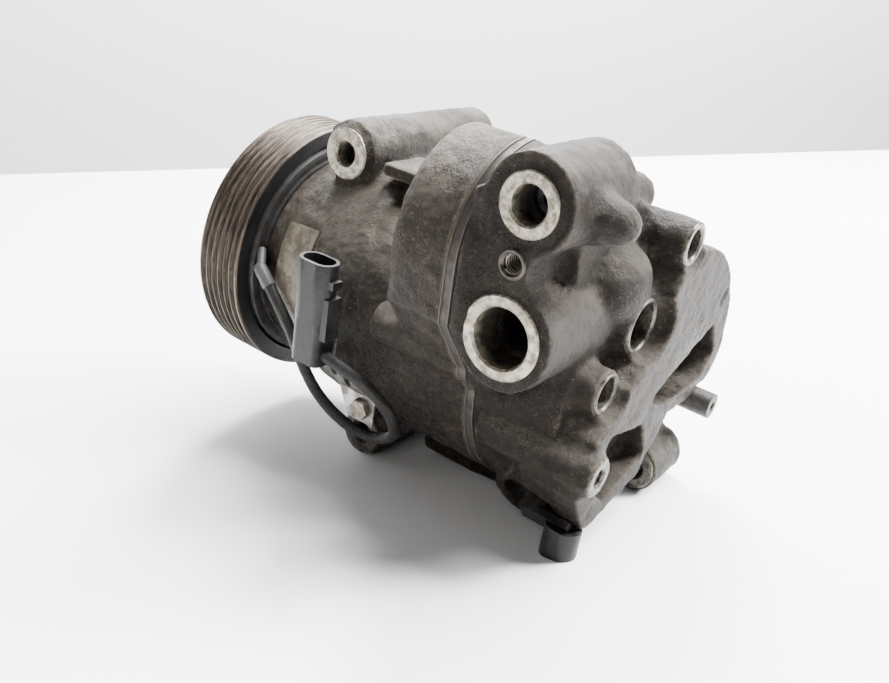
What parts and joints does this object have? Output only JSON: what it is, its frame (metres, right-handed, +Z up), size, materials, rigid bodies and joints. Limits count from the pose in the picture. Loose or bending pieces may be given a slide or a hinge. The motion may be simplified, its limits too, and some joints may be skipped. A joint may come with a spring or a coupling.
{
  "type": "automotive ac compressor",
  "caption": "Belt-driven variable swash-plate air-conditioning compressor with ribbed pulley, magnetic clutch, twin-port rear head and clutch lead.",
  "frame": {"origin": "on the shaft axis, in the belt's centre plane", "axes": "+X along the shaft from the pulley to the rear head, -Y towards the side that the ports and mounting bolts face, +Z up through the port lobe"},
  "size_m": [0.222, 0.142, 0.1645],
  "materials": {
    "cast_aluminium": "sand-cast, dulled by use",
    "machined_aluminium": "machined",
    "gasket": "rubber-coated sheet steel",
    "spring_steel": "blued",
    "machined_steel": "machined",
    "bearing_steel": "ground and polished",
    "plated_steel": "zinc plated, dull",
    "seal_rubber": "moulded",
    "black_plastic": "glass-filled, matte",
    "coil_steel": "phosphated steel, dull",
    "coil_resin": "potting resin",
    "tin_plate": "tin plated",
    "zinc_plate": "zinc plated sheet",
    "black_cable": "fabric-taped lead",
    "grey_sleeve": "heat-shrink sleeve",
    "paper_label": "aged paper label",
    "pulley_steel": "worn steel, rust in the grooves",
    "clutch_steel": "black steel"
  },
  "bodies": {
    "housing": {"front_housing": "cast_aluminium", "front_gasket": "gasket", "suction_reeds": "spring_steel", "valve_plate": "machined_steel", "discharge_reeds": "spring_steel", "rear_gasket": "gasket", "through_bolts": "plated_steel", "rear_head": "cast_aluminium", "control_valve": "machined_steel", "valve_o_rings": "seal_rubber", "valve_snap_ring": "spring_steel", "valve_plug": "black_plastic", "relief_valve": "plated_steel", "drain_plug": "plated_steel", "bearing_inner_race": "bearing_steel", "bearing_snap_ring": "spring_steel", "coil_shell": "coil_steel", "coil_winding": "coil_resin", "coil_snap_ring": "spring_steel", "shaft_seal": "seal_rubber", "seal_snap_ring": "spring_steel", "front_radial_bearing": "bearing_steel", "rear_radial_bearing": "bearing_steel", "thrust_bearing": "bearing_steel", "rear_thrust_washer": "bearing_steel", "cylinder_block": "machined_aluminium", "housing_o_ring": "seal_rubber", "piston_1": "machined_aluminium", "piston_2": "machined_aluminium", "piston_3": "machined_aluminium", "piston_4": "machined_aluminium", "piston_5": "machined_aluminium", "piston_6": "machined_aluminium", "piston_shoes": "bearing_steel", "check_valve_clip": "spring_steel", "connector_housing": "black_plastic", "connector_terminals": "tin_plate", "connector_bracket": "zinc_plate", "bracket_screw": "plated_steel", "clutch_lead": "black_cable", "lead_sleeve": "grey_sleeve", "nose_label": "paper_label"},
    "pulley": {"pulley_rotor": "pulley_steel", "bearing_outer_race": "bearing_steel", "bearing_seals": "seal_rubber"},
    "ball_set": {"bearing_balls": "bearing_steel"},
    "shaft": {"drive_shaft": "bearing_steel", "clutch_hub": "clutch_steel", "hub_rivets": "plated_steel", "hub_nut": "plated_steel", "lug_plate": "machined_steel", "swash_plate": "machined_steel", "hinge_pin": "bearing_steel", "return_spring": "spring_steel"},
    "armature": {"armature_plate": "clutch_steel", "armature_springs": "spring_steel", "armature_rivets": "plated_steel"},
    "check_valve": {"check_valve_poppet": "black_plastic"}
  },
  "joints": [
    {"name": "pulley_spin", "type": "hinge", "parent": "housing", "child": "pulley", "pos_m": [0, 0, 0], "axis": [1, 0, 0], "continuous": true},
    {"name": "ball_set_spin", "type": "hinge", "parent": "housing", "child": "ball_set", "pos_m": [0, 0, 0], "axis": [1, 0, 0], "continuous": true},
    {"name": "shaft_spin", "type": "hinge", "parent": "housing", "child": "shaft", "pos_m": [0, 0, 0], "axis": [1, 0, 0], "continuous": true},
    {"name": "armature_pull_in", "type": "slide", "parent": "shaft", "child": "armature", "axis": [1, 0, 0], "range_m": [0, 0.00035], "stiffness_N_per_m": 20000},
    {"name": "check_valve_open", "type": "slide", "parent": "housing", "child": "check_valve", "axis": [0, -1, 0], "range_m": [0, 0.002], "stiffness_N_per_m": 600}
  ],
  "couplings": [
    {"joint": "ball_set_spin", "follows": "pulley_spin", "ratio": 0.588}
  ]
}
